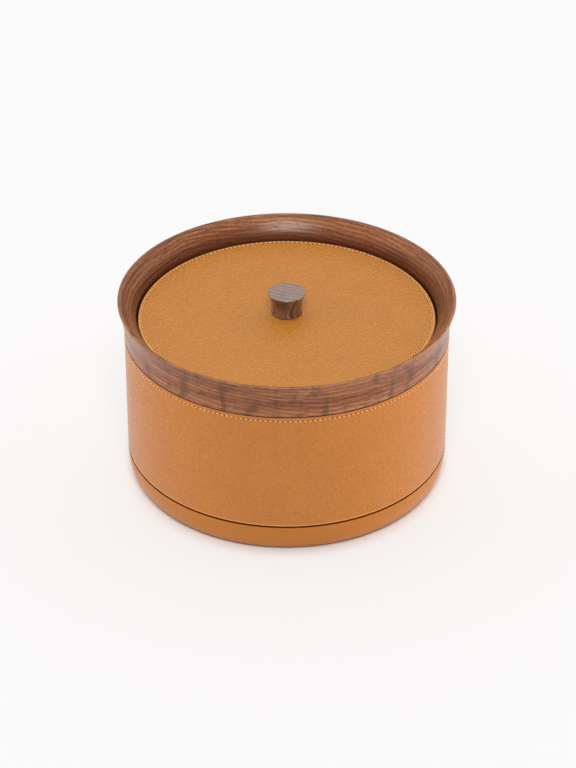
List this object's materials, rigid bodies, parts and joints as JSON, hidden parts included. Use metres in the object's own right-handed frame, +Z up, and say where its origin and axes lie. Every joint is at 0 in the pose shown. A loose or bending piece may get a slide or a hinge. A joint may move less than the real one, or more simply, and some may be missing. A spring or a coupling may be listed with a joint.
{
  "type": "divided serving box",
  "caption": "Round leather-covered serving box with a flared wooden rim, a sunken lid with a turned knob, a lift-out cross divider and a swivelling base.",
  "frame": {"origin": "middle of the felt pad's underside, on the table", "axes": "+Z up along the box's axis; -Y towards the side that the picture shows in front; the long divider slat lies along X"},
  "size_m": [0.28, 0.28, 0.1691],
  "materials": {
    "walnut": "oiled, satin",
    "leather_tan": "pebble grain, soft sheen",
    "lining_suede": "suede",
    "thread": "waxed thread",
    "board": "raw board",
    "felt": "pressed felt",
    "bearing_aluminium": "turned",
    "steel": "plain",
    "cage_nylon": "moulded",
    "brass": "turned"
  },
  "bodies": {
    "base": {"base_felt": "felt", "base_board": "board", "base_leather": "leather_tan", "bearing_outer_ring": "bearing_aluminium", "bearing_outer_screw_1": "steel", "bearing_outer_screw_2": "steel", "bearing_outer_screw_3": "steel", "bearing_outer_screw_4": "steel"},
    "ball_set": {"bearing_ball_cage": "cage_nylon", "bearing_ball_01": "steel", "bearing_ball_02": "steel", "bearing_ball_03": "steel", "bearing_ball_04": "steel", "bearing_ball_05": "steel", "bearing_ball_06": "steel", "bearing_ball_07": "steel", "bearing_ball_08": "steel", "bearing_ball_09": "steel", "bearing_ball_10": "steel", "bearing_ball_11": "steel", "bearing_ball_12": "steel"},
    "box": {"bearing_inner_ring": "bearing_aluminium", "bearing_inner_screw_1": "steel", "bearing_inner_screw_2": "steel", "bearing_inner_screw_3": "steel", "bearing_inner_screw_4": "steel", "bottom_board": "board", "wall_tube": "board", "wall_leather": "leather_tan", "wall_lining": "lining_suede", "floor_lining": "lining_suede", "rim_ring": "walnut"},
    "divider": {"divider_long_slat": "walnut", "divider_cross_slat": "walnut"},
    "lid": {"lid_board": "board", "lid_leather": "leather_tan", "lid_lining": "lining_suede", "lid_knob": "walnut", "knob_insert": "brass", "knob_screw": "steel", "knob_washer": "steel"}
  },
  "joints": [
    {"name": "box_swivel", "type": "hinge", "parent": "base", "child": "box", "pos_m": [0, 0, 0.0234], "axis": [0, 0, 1], "continuous": true},
    {"name": "ball_set_orbit", "type": "hinge", "parent": "base", "child": "ball_set", "pos_m": [0, 0, 0.0234], "axis": [0, 0, 1], "continuous": true},
    {"name": "divider_lift", "type": "slide", "parent": "box", "child": "divider", "axis": [0, 0, 1], "range_m": [0, 0.025]},
    {"name": "lid_lift", "type": "slide", "parent": "box", "child": "lid", "axis": [0, 0, 1], "range_m": [0, 0.12]}
  ],
  "couplings": [
    {"joint": "ball_set_orbit", "follows": "box_swivel", "ratio": 0.5}
  ]
}
